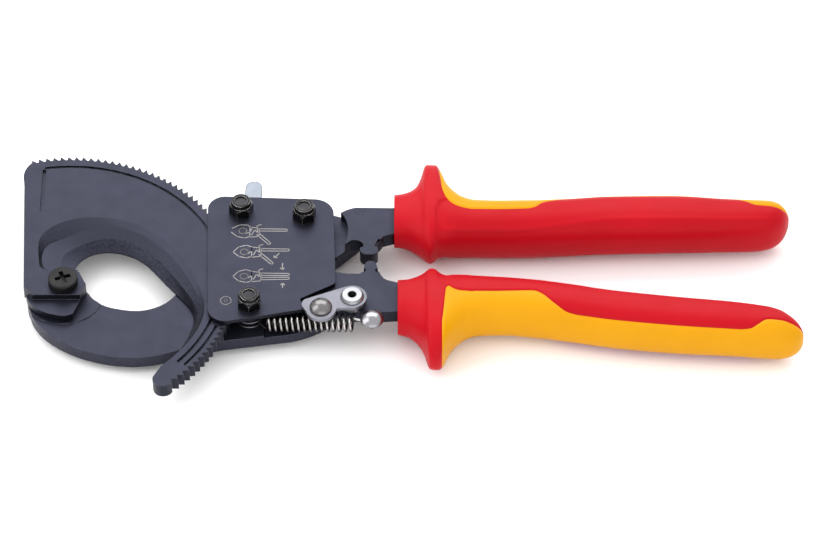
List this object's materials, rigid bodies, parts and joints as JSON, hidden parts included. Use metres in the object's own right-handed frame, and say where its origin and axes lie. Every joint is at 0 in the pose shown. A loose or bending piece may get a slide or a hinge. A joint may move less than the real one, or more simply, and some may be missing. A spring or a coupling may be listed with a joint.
{
  "type": "ratchet cable cutter",
  "caption": "One-hand ratchet cable cutter with a hooked toothed blade, fixed jaw, bolted ratchet housing, transport latch, return spring and two-colour insulated handles",
  "frame": {"origin": "bottom centre of the closed tool lying on its back, on the surface it rests on", "axes": "+X from the cutting head to the grips, +Y towards the fixed handle, +Z out of the front with the cover plate"},
  "size_m": [0.2512, 0.0993, 0.0196],
  "materials": {
    "burnished_steel": "dark blue-grey burnished, satin",
    "black_steel": "black oxide with rubbed edges",
    "screw_steel": "dull phosphated grey",
    "plated_steel": "bright nickel plating",
    "spring_steel": "bright drawn wire",
    "zinc_steel": "zinc plated, fine satin",
    "bright_rivet": "bright, lightly turned",
    "soft_red": "soft moulded, satin",
    "hard_yellow": "moulded, satin"
  },
  "bodies": {
    "frame": {"fixed_jaw": "burnished_steel", "cover_plate": "burnished_steel", "frame_bolts": "black_steel", "lock_nuts": "black_steel", "pivot_screw": "screw_steel", "pivot_nut": "black_steel", "pawl_sleeve": "zinc_steel", "spring_anchor": "zinc_steel", "handle_pin": "black_steel", "shank_dowel": "black_steel", "fixed_shank": "burnished_steel", "stop_pin": "black_steel", "fixed_grip_body": "soft_red", "fixed_grip_inlay": "hard_yellow", "return_spring": "spring_steel"},
    "blade": {"moving_blade": "burnished_steel"},
    "hold": {"holding_pawl": "burnished_steel", "release_lever": "plated_steel", "lever_rivet": "plated_steel", "holding_spring": "spring_steel"},
    "handle": {"moving_shank": "burnished_steel", "moving_grip_body": "soft_red", "moving_grip_inlay": "hard_yellow", "drive_pin": "black_steel", "spring_post": "plated_steel", "latch_rivet": "bright_rivet", "latch_spacer": "bright_rivet"},
    "drive": {"drive_pawl": "burnished_steel", "drive_spring": "spring_steel"},
    "latch": {"lock_latch": "zinc_steel", "latch_button": "plated_steel"}
  },
  "joints": [
    {"name": "blade_turn", "type": "hinge", "parent": "frame", "child": "blade", "pos_m": [-0.11031, -0.00604, 0.00982], "axis": [0, 0, 1], "range_deg": [-90, 80]},
    {"name": "handle_swing", "type": "hinge", "parent": "frame", "child": "handle", "pos_m": [-0.03681, -0.00554, 0.00982], "axis": [0, 0, 1], "range_deg": [-28, 5.5], "deforming": ["return_spring"]},
    {"name": "release_lever_turn", "type": "hinge", "parent": "frame", "child": "hold", "pos_m": [-0.05391, 0.02386, 0.00982], "axis": [0, 0, 1], "range_deg": [-5, 8], "stiffness_Nm_per_rad": 0.05},
    {"name": "drive_pawl_turn", "type": "hinge", "parent": "handle", "child": "drive", "pos_m": [-0.04711, -0.00004, 0.00982], "axis": [0, 0, 1], "range_deg": [-13, 4], "stiffness_Nm_per_rad": 0.02},
    {"name": "latch_turn", "type": "hinge", "parent": "handle", "child": "latch", "pos_m": [-0.01761, -0.01484, 0.01502], "axis": [0, 0, 1], "range_deg": [0, 25]}
  ]
}
